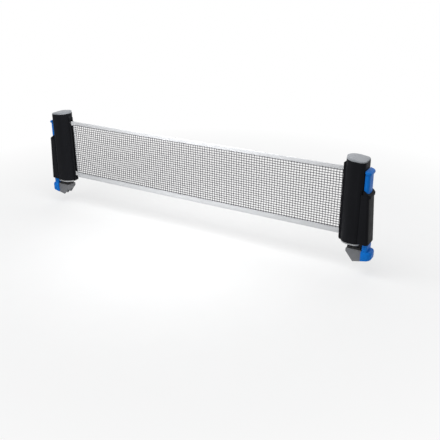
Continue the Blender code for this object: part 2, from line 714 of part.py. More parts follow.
def net_lead_mesh():
    """The flat stretch of net inside the post, from behind the slot to where it meets the roll."""
    start = Vector((SLOT_END + SEAT_GAP, 0.0))
    radius = ROLL_RADIUS + TAPE_THICKNESS / 2 + SEAT_GAP
    turn = math.acos(radius / start.length)
    end = Vector((-radius * math.cos(turn), radius * math.sin(turn)))
    along = (end - start).normalized()
    across = Vector((-along.y, along.x)) * (NET_THICKNESS / 2)
    outline = [start - across, end - across, end + across, start + across]
    return prism([[(point.x, point.y) for point in outline]], NET_BOTTOM, NET_TOP)


def hook_mesh(low):
    """A tab that stands out of the slot to the end bar, with a head behind the slot."""
    tab_half = SLOT_WIDTH / 2 - SEAT_GAP
    high = low + HOOK_HEIGHT
    inside = BODY_HALF_WIDTH - BODY_WALL
    head_near = SEAT_GAP - NOSE_OFFSET - math.sqrt(inside**2 - HOOK_HEAD_HALF_WIDTH**2)
    head_far = head_near + HOOK_HEAD_THICKNESS
    near = LIP_FACE - END_BAR_STANDOFF + SEAT_GAP
    tab = box((near, -tab_half, low), (head_near + OVERLAP, tab_half, high))
    head_low = (head_near, -HOOK_HEAD_HALF_WIDTH, low)
    return combined(box(head_low, (head_far, HOOK_HEAD_HALF_WIDTH, high)), [tab])


def end_bar_mesh():
    near = LIP_FACE - END_BAR_STANDOFF
    bar = box(
        (near - END_BAR_WIDTH, -END_BAR_THICKNESS / 2, NET_BOTTOM),
        (near, END_BAR_THICKNESS / 2, NET_TOP),
    )
    return rounded_rim(bar, END_BAR_THICKNESS / 4, lambda middle, along: True)


def add(name, mesh, look, parent=None, shift=(0, 0, 0)):
    """Puts a copy of the mesh in the scene as a named piece with its own material."""
    data = mesh.copy()
    data.name = name
    data.materials.clear()
    data.materials.append(material(name, look))
    obj = bpy.data.objects.new(name, data)
    obj.parent = parent
    obj.location = shift
    parts.objects.link(obj)
    return obj


def empty(name, location, turn=0.0, parent=None):
    obj = bpy.data.objects.new(name, None)
    obj.location = location
    obj.rotation_euler.z = turn
    obj.parent = parent
    parts.objects.link(obj)
    return obj


def coil(name, radius, wire, low, high, turns, centre_x, look, parent):
    """A round-wire spring as one tube, its end turns closer than the rest."""
    per_turn = 8
    curve = bpy.data.curves.new(name, "CURVE")
    curve.dimensions = "3D"
    curve.bevel_depth = wire / 2
    curve.bevel_resolution = 1
    curve.use_fill_caps = True
    count = turns * per_turn
    spline = curve.splines.new("POLY")
    spline.points.add(count)
    closed_rise = wire * CLOSED_TURN_RISE
    open_rise = (high - low - wire - 2 * closed_rise) / (turns - 2)
    z = low + wire / 2
    for step, point in enumerate(spline.points):
        angle = 2 * math.pi * step / per_turn
        point.co = (radius * math.cos(angle), radius * math.sin(angle), z, 1)
        closed = step < per_turn or step >= count - per_turn
        z += (closed_rise if closed else open_rise) / per_turn
    curve.materials.append(material(name, look))
    obj = bpy.data.objects.new(name, curve)
    obj.location = (centre_x, 0, 0)
    obj.parent = parent
    parts.objects.link(obj)
    return obj


def build_post(side, post):
    """The pieces of one clamp post, and those of its slider on an axis of their own."""
    add(side + "_housing", meshes["housing"], BLACK_PLASTIC, post)
    add(side + "_top_cap", meshes["cap"], SILVER_PLASTIC, post)
    add(side + "_base_plate", meshes["base_plate"], BLACK_PLASTIC, post)
    add(side + "_base_pad", meshes["base_pad"], PALE_RUBBER, post)
    add(side + "_clamp_cover", meshes["clamp_cover"], BLACK_PLASTIC, post)
    for place, y in (("front", -SCREW_Y), ("back", SCREW_Y)):
        screw = screw_mesh(SCREW_X, y, PLATE_LOW + SEAT_GAP / 2, SCREW_LENGTH)
        add(side + "_base_screw_" + place, screw, STEEL, post)
    spring_low = PLATE_HIGH + SEAT_GAP
    spring_high = SHELF_HEIGHT - SEAT_GAP
    radius = SPIGOT_RADIUS + SLIDER_GAP + CLAMP_SPRING_WIRE / 2
    coil(
        side + "_clamp_spring",
        radius,
        CLAMP_SPRING_WIRE,
        spring_low,
        spring_high,
        CLAMP_SPRING_TURNS,
        SPRING_X,
        STEEL,
        post,
    )
    slide = empty(side + "_slide_axis", (SPRING_X, 0, 0), parent=post)
    back = (-SPRING_X, 0, 0)
    add(side + "_slider", meshes["slider"], BLUE_PLASTIC, slide, back)
    add(side + "_jaw_arm", meshes["jaw_arm"], GREY_PLASTIC, slide, back)
    add(side + "_jaw_pad", meshes["jaw_pad"], BLACK_RUBBER, slide, back)
    add(side + "_jaw_screw", meshes["jaw_screw"], STEEL, slide, back)


def build_roller(post):
    """The roller and what turns with it, and the spindle and spring that stay."""
    axis = empty("net_roller_axis", (0, 0, 0), parent=post)
    bore = ROLLER_RADIUS - ROLLER_WALL
    bush_outer = bore - SEAT_GAP
    bush_inner = SPINDLE_RADIUS + SEAT_GAP
    add("net_roller", roller_mesh(), GREY_PLASTIC, axis)
    for place, low in (("lower", ROLLER_LOW), ("upper", ROLLER_HIGH - BUSH_LENGTH)):
        bush = ring_mesh(bush_inner, bush_outer, low, low + BUSH_LENGTH)
        add("roller_bush_" + place, bush, WHITE_PLASTIC, axis)
    roll = ring_mesh(ROLLER_RADIUS + SEAT_GAP, ROLL_RADIUS, NET_BOTTOM, NET_TOP, 28)
    add("wound_net", roll, WHITE_FABRIC, axis)
    spindle = cylinder(0, 0, SPINDLE_RADIUS, SPINDLE_LOW, SPINDLE_HIGH, 16)
    add("roller_spindle", finished(spindle), STEEL, post)
    spring_radius = SPINDLE_RADIUS + SLIDER_GAP + ROLLER_SPRING_WIRE / 2
    spring_low = ROLLER_LOW + BUSH_LENGTH + RUNNING_GAP
    spring_high = ROLLER_HIGH - BUSH_LENGTH - RUNNING_GAP
    coil(
        "roller_spring",
        spring_radius,
        ROLLER_SPRING_WIRE,
        spring_low,
        spring_high,
        ROLLER_SPRING_TURNS,
        0.0,
        STEEL,
        post,
    )
    add("net_lead", net_lead_mesh(), WHITE_FABRIC, post)


def build_net(left):
    """The free net between the posts, and the fittings that hold its end on the left post's lips."""
    add("net_end_bar", end_bar_mesh(), WHITE_PLASTIC, left)
    upper_low = NET_TOP - HOOK_INSET_TOP - HOOK_HEIGHT
    add("net_hook_upper", hook_mesh(upper_low), WHITE_PLASTIC, left)
    add("net_hook_lower", hook_mesh(NET_BOTTOM + HOOK_INSET_BOTTOM), WHITE_PLASTIC, left)
    x_low = LIP_FACE - NET_SPAN + END_BAR_STANDOFF + END_BAR_WIDTH + SEAT_GAP
    x_high = SLOT_END
    z_low = NET_BOTTOM + BOTTOM_TAPE_HEIGHT
    z_high = NET_TOP - TOP_TAPE_HEIGHT
    half = TAPE_THICKNESS / 2
    grid = net_grid_mesh(x_low, x_high, z_low + SEAT_GAP, z_high - SEAT_GAP)
    add("net_mesh", grid, NET_CORD)
    top = box((x_low, -half, z_high), (x_high, half, NET_TOP))
    bottom = box((x_low, -half, NET_BOTTOM), (x_high, half, z_low))
    add("net_top_tape", finished(top), WHITE_FABRIC)
    add("net_bottom_tape", finished(bottom), WHITE_FABRIC)


clear_scene()
parts = collection("retractable_net")
cutters = collection("cutters")
meshes = {
    "housing": housing_mesh(),
    "cap": cap_mesh(),
    "base_plate": base_plate_mesh(),
    "base_pad": base_pad_mesh(),
    "clamp_cover": clamp_cover_mesh(),
    "slider": slider_mesh(),
    "jaw_arm": jaw_arm_mesh(),
    "jaw_pad": jaw_pad_mesh(),
    "jaw_screw": screw_mesh(JAW_SCREW_X, 0, JAW_SCREW_LOW, SCREW_LENGTH),
}
right_post = empty("right_post_axis", (0, 0, 0))
left_post = empty("left_post_axis", (-POST_SPACING, 0, 0), math.pi)
build_post("right", right_post)
build_post("left", left_post)
build_roller(right_post)
build_net(left_post)
bpy.context.view_layer.update()
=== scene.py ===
"""The retractable table-tennis net as a picture: detailed net, tapes and roll, materials, floor and light.

Metres, in the same frame as the CAD: +X along the net, +Z up, the origin on the right post's axis.
"""

import json
import math

import bmesh
import bpy
from mathutils import Matrix, Vector


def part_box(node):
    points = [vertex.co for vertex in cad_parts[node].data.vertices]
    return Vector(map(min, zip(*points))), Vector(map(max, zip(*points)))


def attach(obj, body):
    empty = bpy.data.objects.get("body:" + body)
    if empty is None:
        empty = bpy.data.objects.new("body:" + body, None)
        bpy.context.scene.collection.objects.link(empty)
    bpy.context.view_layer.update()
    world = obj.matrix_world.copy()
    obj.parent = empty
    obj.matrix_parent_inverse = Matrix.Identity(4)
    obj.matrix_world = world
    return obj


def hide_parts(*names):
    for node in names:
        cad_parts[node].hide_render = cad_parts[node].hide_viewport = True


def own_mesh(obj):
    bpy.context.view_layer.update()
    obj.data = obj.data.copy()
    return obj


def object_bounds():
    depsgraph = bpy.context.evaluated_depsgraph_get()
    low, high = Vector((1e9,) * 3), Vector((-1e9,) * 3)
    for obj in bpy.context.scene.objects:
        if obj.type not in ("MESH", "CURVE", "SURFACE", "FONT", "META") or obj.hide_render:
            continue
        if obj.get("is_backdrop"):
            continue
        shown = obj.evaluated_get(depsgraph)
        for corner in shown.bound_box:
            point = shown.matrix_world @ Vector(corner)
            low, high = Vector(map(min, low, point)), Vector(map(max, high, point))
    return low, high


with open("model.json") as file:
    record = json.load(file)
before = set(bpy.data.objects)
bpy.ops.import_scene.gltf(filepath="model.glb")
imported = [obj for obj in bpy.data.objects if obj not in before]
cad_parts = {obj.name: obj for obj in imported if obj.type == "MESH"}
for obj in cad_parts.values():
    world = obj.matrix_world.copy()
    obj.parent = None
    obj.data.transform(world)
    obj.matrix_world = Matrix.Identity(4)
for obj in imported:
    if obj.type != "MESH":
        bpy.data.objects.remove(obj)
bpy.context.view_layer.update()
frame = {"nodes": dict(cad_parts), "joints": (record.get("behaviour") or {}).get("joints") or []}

# Camera: place, heading, downward tilt and roll in degrees
CAMERA_AT = Vector((0.3703, -1.1857, 0.5659))
CAMERA_HEADING = 30.275
CAMERA_TILT = 23.119
CAMERA_ROLL = -0.19
CAMERA_LENS = 51.92
CAMERA_SENSOR = 36.0

# Netting: pitch and width of its cords, and their depth as a share of the width. A cord is KNOT times
# as wide at a crossing, and thins out over KNOT_REACH of a mesh. Its twist repeats every CORD_LAY.
ROW_PITCH = 0.00539
COLUMN_PITCH = 0.00632
ROW_CORD = 0.00145
COLUMN_CORD = 0.00116
CORD_SIDES = 6
CORD_DEPTH = 1.3
KNOT = 1.40
KNOT_REACH = 0.2
LOOP_CORD = 0.0009
CORD_LAY = 0.0012

# How far the crossings stray from a true lattice: waves with their share of it and their angle for
# each column and row, and the share of it that goes up instead of along
SWAY = 0.00025
SWAY_WAVES = ((1.0, 0.9, 1.7), (0.8, 0.23, -1.0))
SWAY_UP = 0.6

# Tapes: thickness over the fold and of the cloth, a leaf's places as shares of the tape's height and of
# the fold, the length of cord inside a tape, and slow waves along the open edge: size, angle and start
TAPE_FOLD = 0.0015
TAPE_FOLD_STEPS = 4
TAPE_LEAF = ((0.25, 0.95), (0.6, 0.85), (0.9, 0.65), (1.0, 0.6))
TAPE_CLOTH = 0.0005
TAPE_OVER_NET = 0.002
TAPE_STATIONS = 241
TAPE_WAVES = ((0.00012, 61.0, 0.0), (0.00008, 143.0, 1.0))
WRAP_CLOTH = 0.00025

# Stitches: the rings of one are places along it, lift and width, as shares of its sizes. They lie on
# the leaves where these are LEAF_AT_STITCH as thick as the fold.
STITCH_PITCH = 0.0042
STITCH_LENGTH = 0.0028
STITCH_WIDTH = 0.0005
STITCH_HEIGHT = 0.00035
STITCH_INSET = 0.0018
STITCH_RINGS = ((-0.5, 0.0, 0.4), (-0.3, 1.0, 1.0), (0.3, 1.0, 1.0), (0.5, 0.0, 0.4))
LEAF_AT_STITCH = 0.75

# The net that is wound on the roller: its whole length, inner radius, rise in a turn and cloth
ROLL_CORE = 0.0069
ROLL_PITCH = 0.00045
ROLL_CLOTH = 0.00030
ROLL_STEPS = 24
LEAD_STEPS = 4

# Clamp springs: wire, turns, rise of a closed end turn in wires, and steps in a turn
SPRING_WIRE = 0.0009
SPRING_TURNS = 12
SPRING_END_RISE = 1.7
SPRING_STEPS = 16

# Shading: angles in degrees past which an edge stays sharp, and the rounding drawn on edges
WELD_DISTANCE = 0.00001
SHARP_ANGLE = 32
CLOTH_SHARP_ANGLE = 50
EDGE_ROUND = 0.0005

# The length of a band of the wave texture at scale 1
WAVE_LENGTH = math.tau / 20

# Stage: the floor's reach, its share of white near the object, the distances over which it turns all
# white, and the strength of the light from all sides
FLOOR_REACH = 40.0
FLOOR_LIFT = 0.62
FADE_START = 0.40
FADE_END = 1.0
WORLD_LIGHT = 0.40

# Lamps: place, target, width, power in watts and spread in degrees
LAMPS = {
    "over_net": ((-0.40, -0.18, 0.48), (-0.40, 0.0, 0.08), 0.30, 2.2, 150),
    "overhead": ((-0.30, -0.80, 1.50), (-0.40, 0.0, 0.1), 1.40, 9.0, 180),
    "behind": ((-0.50, 1.10, 1.40), (-0.40, 0.0, 0.1), 1.40, 7.0, 180),
}

UP = Vector((0, 0, 1))
ALONG = Vector((1, 0, 0))


# ---------------------------------------------------------------- helpers


def travel_of(name):
    """How far a sliding joint goes."""
    return next(joint["range_m"][1] for joint in frame["joints"] if joint["name"] == name)


def smooth(obj):
    """Shade round stretches smooth and leave real corners sharp."""
    obj.data.shade_smooth()
    obj.data.set_sharp_from_angle(angle=math.radians(CLOTH_SHARP_ANGLE))


def mesh_object(name, vertices, faces, look):
    """A new mesh in the scene, in the material of one of the LOOKS."""
    mesh = bpy.data.meshes.new(name)
    mesh.from_pydata(vertices, [], faces)
    mesh.update()
    mesh.materials.append(LOOKS[look])
    obj = bpy.data.objects.new(name, mesh)
    bpy.context.scene.collection.objects.link(obj)
    return obj


def tube_faces(faces, first, rings, corners):
    """The sides and the two ends of a tube whose rings of corners follow each other."""
    for ring in range(rings - 1):
        for corner in range(corners):
            a = first + ring * corners + corner
            b = first + ring * corners + (corner + 1) % corners
            faces.append((a, b, b + corners, a + corners))
    last = first + (rings - 1) * corners
    faces.append(tuple(first + corner for corner in reversed(range(corners))))
    faces.append(tuple(last + corner for corner in range(corners)))


def ways_along(points):
    """The direction of the path at each of its points."""
    ways = []
    for index in range(len(points)):
        before = points[max(index - 1, 0)]
        after = points[min(index + 1, len(points) - 1)]
        ways.append((after - before).normalized())
    return ways


def strand(vertices, faces, points, across, widths, depth=CORD_DEPTH):
    """A cord through the points, with its own width at each, deeper than wide by the share depth."""
    first = len(vertices)
    for point, way, width in zip(points, ways_along(points), widths):
        away = way.cross(across).normalized()
        for side in range(CORD_SIDES):
            angle = math.tau * side / CORD_SIDES
            offset = across * math.cos(angle) + away * (depth * math.sin(angle))
            vertices.append(point + offset * (width / 2))
    tube_faces(faces, first, len(points), CORD_SIDES)


def strip(name, path, low, high, thickness, look):
    """A band of cloth that stands upright along a path in plan."""
    vertices = []
    faces = []
    for point, way in zip(path, ways_along(path)):
        out = way.cross(UP) * (thickness / 2)
        for shift, height in ((-out, low), (-out, high), (out, high), (out, low)):
            vertices.append(point + shift + UP * height)
    tube_faces(faces, 0, len(path), 4)
    obj = mesh_object(name, vertices, faces, look)
    smooth(obj)
    return obj


def softened():
    """Geometry nodes that weld a solid's facets and shade its round stretches smooth."""
    tree = bpy.data.node_groups.new("soft_shading", "GeometryNodeTree")
    for in_out in ("INPUT", "OUTPUT"):
        tree.interface.new_socket("Geometry", in_out=in_out, socket_type="NodeSocketGeometry")
    entry = tree.nodes.new("NodeGroupInput")
    weld = tree.nodes.new("GeometryNodeMergeByDistance")
    weld.inputs["Distance"].default_value = WELD_DISTANCE
    angle = tree.nodes.new("GeometryNodeInputMeshEdgeAngle")
    sharp = tree.nodes.new("FunctionNodeCompare")
    sharp.inputs[1].default_value = math.radians(SHARP_ANGLE)
    shading = tree.nodes.new("GeometryNodeSetMeshNormal")
    shading.mode = "SHARPNESS"
    shading.inputs["Remove Custom"].default_value = True
    leave = tree.nodes.new("NodeGroupOutput")
    tree.links.new(entry.outputs[0], weld.inputs["Geometry"])
    tree.links.new(weld.outputs["Geometry"], shading.inputs["Mesh"])
    tree.links.new(angle.outputs["Unsigned Angle"], sharp.inputs[0])
    tree.links.new(sharp.outputs["Result"], shading.inputs["Edge Sharpness"])
    tree.links.new(shading.outputs["Mesh"], leave.inputs[0])
    return tree


# ---------------------------------------------------------------- materials


class Look:
    """A material's node tree, with short calls for the nodes that the looks below share."""

    def __init__(self, name, roughness=0.5, metallic=0.0, **sockets):
        self.material = bpy.data.materials.new(name)
        self.material.use_nodes = True
        self.tree = self.material.node_tree
        self.shader = self.tree.nodes["Principled BSDF"]
        self.shader.inputs["Roughness"].default_value = roughness
        self.shader.inputs["Metallic"].default_value = metallic
        for socket, value in sockets.items():
            self.shader.inputs[socket.replace("_", " ")].default_value = value
        self.place = self.node("ShaderNodeTexCoord").outputs["Object"]
        self.edge = None

    def node(self, kind, **values):
        """A node with values for its sockets or, where no socket has the name, its settings."""
        made = self.tree.nodes.new(kind)
        for key, value in values.items():
            if key in made.inputs:
                made.inputs[key].default_value = value
            else:
                setattr(made, key, value)
        return made

    def link(self, output, socket):
        self.tree.links.new(output, socket)

    def scaled(self, x, y, z):
        """The object's own coordinates, scaled along each axis."""
        mapping = self.node("ShaderNodeMapping")
        mapping.inputs["Scale"].default_value = (x, y, z)
        self.link(self.place, mapping.inputs["Vector"])
        return mapping.outputs["Vector"]

    def height(self):
        split = self.node("ShaderNodeSeparateXYZ")
        self.link(self.place, split.inputs["Vector"])
        return split.outputs["Z"]

    def noise(self, scale, detail=3.0, vector=None, distortion=0.0):
        made = self.node("ShaderNodeTexNoise", Scale=scale, Detail=detail, Distortion=distortion)
        self.link(self.place if vector is None else vector, made.inputs["Vector"])
        return made.outputs["Fac"]

    def wave(self, pitch, direction, distortion=0.0):
        """Bands a pitch apart along an axis."""
        made = self.node("ShaderNodeTexWave", Scale=WAVE_LENGTH / pitch, Distortion=distortion)
        made.bands_direction = direction
        self.link(self.place, made.inputs["Vector"])
        return made.outputs["Fac"]

    def between(self, value, low, high, start=0.0, end=1.0):
        """The value's stretch from start to end, laid out from low to high."""
        made = self.node("ShaderNodeMapRange")
        made.inputs["From Min"].default_value = start
        made.inputs["From Max"].default_value = end
        made.inputs["To Min"].default_value = low
        made.inputs["To Max"].default_value = high
        self.link(value, made.inputs["Value"])
        return made.outputs["Result"]

    def maths(self, operation, first, second):
        made = self.node("ShaderNodeMath", operation=operation)
        for socket, value in zip(made.inputs, (first, second)):
            if isinstance(value, (int, float)):
                socket.default_value = value
            else:
                self.link(value, socket)
        return made.outputs["Value"]

    def mixed(self, value, dark, light):
        """A colour between two, by a value from 0 to 1."""
        made = self.node("ShaderNodeValToRGB")
        made.color_ramp.elements[0].color = (*dark, 1.0)
        made.color_ramp.elements[1].color = (*light, 1.0)
        self.link(value, made.inputs["Fac"])
        return made.outputs["Color"]

    def colour(self, output):
        self.link(output, self.shader.inputs["Base Color"])

    def roughness(self, output):
        self.link(output, self.shader.inputs["Roughness"])

    def bump(self, height, strength, distance):
        made = self.node("ShaderNodeBump", Strength=strength, Distance=distance)
        self.link(height, made.inputs["Height"])
        if self.edge:
            self.link(self.edge.outputs["Normal"], made.inputs["Normal"])
        self.link(made.outputs["Normal"], self.shader.inputs["Normal"])

    def round_edges(self):
        """Draws sharp edges as small rounds, under whatever bump follows."""
        self.edge = self.node("ShaderNodeBevel", Radius=EDGE_ROUND)


def moulded(name, dark, light, roughness, grain=2600.0, depth=0.00003, **sockets):
    """Injection-moulded plastic: a fine sparked grain, faint flow marks and slightly uneven gloss."""
    look = Look(name, roughness, **sockets)
    look.round_edges()
    upright = look.scaled(1.0, 1.0, 0.35)
    flow = look.noise(scale=14.0, detail=4.0, vector=upright, distortion=0.6)
    look.colour(look.mixed(look.between(flow, 0.0, 1.0, start=0.3, end=0.7), dark, light))
    handled = look.noise(scale=60.0, detail=5.0)
    low = roughness - 0.05
    high = roughness + 0.07
    look.roughness(look.between(handled, low, high, start=0.3, end=0.7))
    look.bump(look.noise(scale=grain, detail=2.0), strength=0.35, distance=depth)
    return look.material


def metal(name, colour, roughness, stretch):
    """Drawn or turned steel, with fine scratches along the stretched way."""
    look = Look(name, roughness, 1.0)
    scratches = look.noise(scale=900.0, detail=3.0, vector=look.scaled(*stretch))
    dark = [0.72 * channel for channel in colour]
    look.colour(look.mixed(look.between(scratches, 0.0, 1.0, start=0.35, end=0.65), dark, colour))
    look.roughness(look.between(scratches, roughness - 0.08, roughness + 0.12))
    look.bump(scratches, strength=0.15, distance=0.00002)
    return look.material


def woven(name, dark, light, pitch):
    """Plain-woven tape: crossing yarns, a little soiling and slight unevenness from yarn to yarn."""
    look = Look(name, 0.85, Specular_IOR_Level=0.2)
    warp = look.wave(pitch, "X", distortion=0.6)
    weft = look.wave(pitch, "Z", distortion=0.6)
    weave = look.maths("MULTIPLY", warp, weft)
    cloud = look.noise(scale=22.0, detail=4.0)
    shade = look.maths("ADD", look.between(weave, 0.0, 0.55), look.between(cloud, 0.0, 0.45))
    look.colour(look.mixed(shade, dark, light))
    look.bump(look.maths("ADD", warp, weft), strength=0.5, distance=0.00012)
    return look.material


def corded(name, dark, light):
    """Twisted cord: diagonal strands and a dry, fibrous surface."""
    look = Look(name, 0.85, Specular_IOR_Level=0.1)
    twist = look.wave(CORD_LAY, "DIAGONAL", distortion=1.5)
    fibre = look.noise(scale=1500.0, detail=3.0)
    look.colour(look.mixed(look.maths("MULTIPLY", twist, fibre), dark, light))
    look.bump(look.maths("ADD", twist, fibre), strength=0.6, distance=0.0001)
    return look.material


def layered(name, dark, light, net_low, net_high):
    """Netting in layers between its two tapes: dark rows on a pale ground."""
    look = Look(name, 0.85, Specular_IOR_Level=0.1)
    height = look.height()
    below = look.maths("LESS_THAN", height, net_low)
    above = look.maths("GREATER_THAN", height, net_high)
    rows = look.wave(ROW_PITCH, "Z", distortion=0.8)
    fibre = look.noise(scale=700.0, detail=4.0)
    netting = look.maths("MULTIPLY", rows, look.between(fibre, 0.3, 0.9))
    shade = look.maths("MAXIMUM", look.maths("MAXIMUM", below, above), netting)
    look.colour(look.mixed(shade, dark, light))
    look.bump(look.maths("ADD", rows, fibre), strength=0.6, distance=0.0002)
    return look.material


NETTING_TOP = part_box("net_top_tape")[0].z
NETTING_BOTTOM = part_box("net_bottom_tape")[1].z
LOOKS = {
    "black": moulded(
        "black_moulding",
        (0.0090, 0.0093, 0.0110),
        (0.0130, 0.0135, 0.0158),
        0.42,
        Specular_IOR_Level=0.03,
    ),
    "cap": moulded(
        "silver_grey_moulding",
        (0.262, 0.276, 0.297),
        (0.310, 0.324, 0.346),
        0.48,
        3400.0,
        Specular_IOR_Level=0.2,
    ),
    "blue": moulded(
        "blue_moulding",
        (0.0015, 0.158, 0.600),
        (0.0035, 0.187, 0.690),
        0.42,
        Specular_IOR_Level=0.12,
    ),
    "grey": moulded("grey_moulding", (0.15, 0.155, 0.165), (0.18, 0.185, 0.195), 0.55),
    "white": moulded("white_moulding", (0.62, 0.63, 0.64), (0.70, 0.71, 0.72), 0.50),
    "pale_pad": moulded(
        "pale_soft_pad", (0.40, 0.41, 0.42), (0.48, 0.49, 0.50), 0.75, 1500.0, 0.00006
    ),
    "black_pad": moulded(
        "black_soft_pad", (0.012, 0.012, 0.013), (0.02, 0.02, 0.021), 0.80, 1500.0, 0.00006
    ),
    "wire": metal("spring_wire", (0.62, 0.62, 0.64), 0.30, (1.0, 1.0, 0.2)),
    "screw": metal("plated_screw", (0.66, 0.66, 0.67), 0.28, (1.0, 0.2, 1.0)),
    "rod": metal("drawn_rod", (0.66, 0.66, 0.68), 0.25, (1.0, 1.0, 0.1)),
    "tape": woven("woven_tape", (0.56, 0.57, 0.585), (0.71, 0.72, 0.735), 0.0011),
    "cord": corded("net_cord", (0.032, 0.031, 0.038), (0.125, 0.121, 0.140)),
    "thread": woven("stitching_thread", (0.66, 0.67, 0.68), (0.78, 0.79, 0.80), 0.0006),
    "wound": layered(
        "wound_netting", (0.06, 0.06, 0.068), (0.66, 0.67, 0.69), NETTING_BOTTOM, NETTING_TOP
    ),
    "floor": moulded("pale_floor", (0.71, 0.715, 0.72), (0.73, 0.735, 0.74), 0.90, 4.0, 0.0),
}

CARRIED = {
    "housing": "black",
    "top_cap": "cap",
    "base_plate": "black",
    "base_pad": "pale_pad",
    "clamp_cover": "black",
    "base_screw_front": "screw",
    "base_screw_back": "screw",
    "slider": "blue",
    "jaw_arm": "grey",
    "jaw_pad": "black_pad",
    "jaw_screw": "screw",
    "net_roller": "grey",
    "roller_bush_lower": "white",
    "roller_bush_upper": "white",
    "roller_spindle": "rod",
    "roller_spring": "wire",
    "net_end_bar": "white",
    "net_hook_upper": "white",
    "net_hook_lower": "white",
}


def dress_carried_pieces():
    """Material and shading of the solids that stay as they are."""
    shading = softened()
    for node, obj in frame["nodes"].items():
        piece = node.removeprefix("left_").removeprefix("right_")
        if piece not in CARRIED:
            continue
        obj.data.materials.clear()
        obj.data.materials.append(LOOKS[CARRIED[piece]])
        obj.modifiers.new("shading", "NODES").node_group = shading


# ---------------------------------------------------------------- clamp springs


def build_clamp_spring(side):
    """The coil under the slider's shelf, which shortens as the slider comes down on it."""
    node = side + "_clamp_spring"
    low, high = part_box(node)
    radius = (high.x - low.x - SPRING_WIRE) / 2
    end_rise = SPRING_END_RISE * SPRING_WIRE
    open_rise = (high.z - low.z - SPRING_WIRE - 2 * end_rise) / (SPRING_TURNS - 2)
    points = []
    height = low.z + SPRING_WIRE / 2
    count = SPRING_TURNS * SPRING_STEPS
    for step in range(count + 1):
        angle = math.tau * step / SPRING_STEPS
        out = Vector((radius * math.cos(angle), radius * math.sin(angle), height))
        points.append(Vector(((low.x + high.x) / 2, 0, 0)) + out)
        at_end = step < SPRING_STEPS or step >= count - SPRING_STEPS
        height += (end_rise if at_end else open_rise) / SPRING_STEPS
    vertices = []
    faces = []
    strand(vertices, faces, points, UP, [SPRING_WIRE] * len(points), 1.0)
    spring = mesh_object(side + "_squeezed_spring", vertices, faces, "wire")
    smooth(spring)
    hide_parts(node)
    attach(spring, side + "_post")
    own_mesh(spring)


# ---------------------------------------------------------------- net


def build_netting(x_low, x_high, z_low, z_high):
    """Upright and level cords that thicken where they are bonded to each other."""
    columns = round((x_high - x_low) / COLUMN_PITCH)
    rows = round((z_high - z_low) / ROW_PITCH)
    vertices = []
    faces = []

    def crossing(column, row):
        sway = 0.0
        for share, by_column, by_row in SWAY_WAVES:
            sway += SWAY * share * math.sin(column * by_column + row * by_row)
        x = x_low + (column + 0.5) * (x_high - x_low) / columns
        z = z_low + row * (z_high - z_low) / rows
        rise = 0.0 if row in (0, rows) else SWAY_UP * sway
        return Vector((x + sway, 0, z + rise))

    for column in range(columns):
        points = [crossing(column, 0) - UP * TAPE_OVER_NET]
        widths = [COLUMN_CORD]
        for row in range(rows + 1):
            here = crossing(column, row)
            points.append(here)
            widths.append(COLUMN_CORD * KNOT)
            if row < rows:
                there = crossing(column, row + 1)
                for share in (KNOT_REACH, 1 - KNOT_REACH):
                    points.append(here.lerp(there, share))
                    widths.append(COLUMN_CORD)
        points.append(crossing(column, rows) + UP * TAPE_OVER_NET)
        widths.append(COLUMN_CORD)
        strand(vertices, faces, points, ALONG, widths)
    for row in range(rows + 1):
        points = [Vector((x_low, 0, crossing(0, row).z))]
        widths = [ROW_CORD]
        for column in range(columns):
            here = crossing(column, row)
            for share in (-KNOT_REACH, 0.0, KNOT_REACH):
                points.append(here + ALONG * (share * COLUMN_PITCH))
                widths.append(ROW_CORD * (1.0 if share else KNOT))
        points.append(Vector((x_high, 0, crossing(columns - 1, row).z)))
        widths.append(ROW_CORD)
        strand(vertices, faces, points, UP, widths)
    obj = mesh_object("fine_net", vertices, faces, "cord")
    obj.data.shade_smooth()
    return obj


def round_the_bar(room, steps=6):
    """A path in plan from the net's edge round the end bar and back, a little clear of it."""
    low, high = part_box("net_end_bar")
    half = (high.y - low.y) / 2 + room
    middle = low.x - room + half
    path = [Vector((high.x, half, 0))]
    for step in range(steps + 1):
        angle = math.pi * (0.5 + step / steps)
        path.append(Vector((middle + half * math.cos(angle), half * math.sin(angle), 0)))
    path.append(Vector((high.x, -half, 0)))
    return path


def build_end_loops(z_low, z_high):
    """The rows' ends, which go round the end bar."""
    rows = round((z_high - z_low) / ROW_PITCH)
    vertices = []
    faces = []
    path = round_the_bar(LOOP_CORD / 2)
    for row in range(rows + 1):
        height = UP * (z_low + row * (z_high - z_low) / rows)
        strand(vertices, faces, [point + height for point in path], UP, [LOOP_CORD] * len(path))
    obj = mesh_object("end_loops", vertices, faces, "cord")
    obj.data.shade_smooth()
    return obj


def fold_section(fold_z, open_z):
    """Half a turn round the fold, and a leaf on each side that closes on the netting."""
    half = TAPE_FOLD / 2
    down = math.copysign(1, open_z - fold_z)
    section = []
    for step in range(TAPE_FOLD_STEPS + 1):
        angle = math.pi * step / TAPE_FOLD_STEPS
        section.append((half * math.cos(angle), fold_z + down * (half - half * math.sin(angle))))
    for share, width in TAPE_LEAF:
        z = fold_z + (open_z - fold_z) * share
        section.insert(0, (half * width, z))
        section.append((-half * width, z))
    return section


